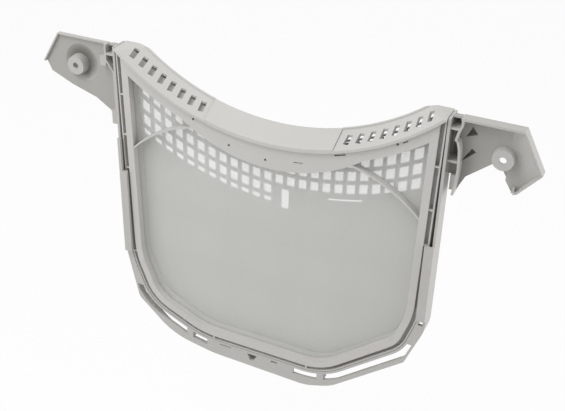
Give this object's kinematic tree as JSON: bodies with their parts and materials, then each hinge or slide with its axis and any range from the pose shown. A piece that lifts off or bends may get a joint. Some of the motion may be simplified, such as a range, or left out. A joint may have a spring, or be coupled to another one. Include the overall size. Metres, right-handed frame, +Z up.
{
  "type": "dryer guide cover",
  "caption": "U-shaped dryer lint guide with screw wings and a rear grille, holding a slide-out lint filter with screened frames under a slotted cap.",
  "frame": {"origin": "midway between the two screw boss faces, on the line through both screw holes", "axes": "+X to the right seen from the door, +Y away from the door into the drum, +Z up along the filter's pull-out direction"},
  "size_m": [0.4839, 0.024, 0.3264],
  "materials": {
    "guide_plastic": "satin moulded",
    "filter_plastic": "satin moulded",
    "screen_mesh": "fine woven mesh"
  },
  "bodies": {
    "guide": {"guide_cover": "guide_plastic"},
    "filter": {"front_frame": "filter_plastic", "rear_frame": "filter_plastic", "front_screen": "screen_mesh", "rear_screen": "screen_mesh"}
  },
  "joints": [
    {"name": "filter_slide", "type": "slide", "parent": "guide", "child": "filter", "axis": [0, 0, 1], "range_m": [0, 0.28]}
  ]
}
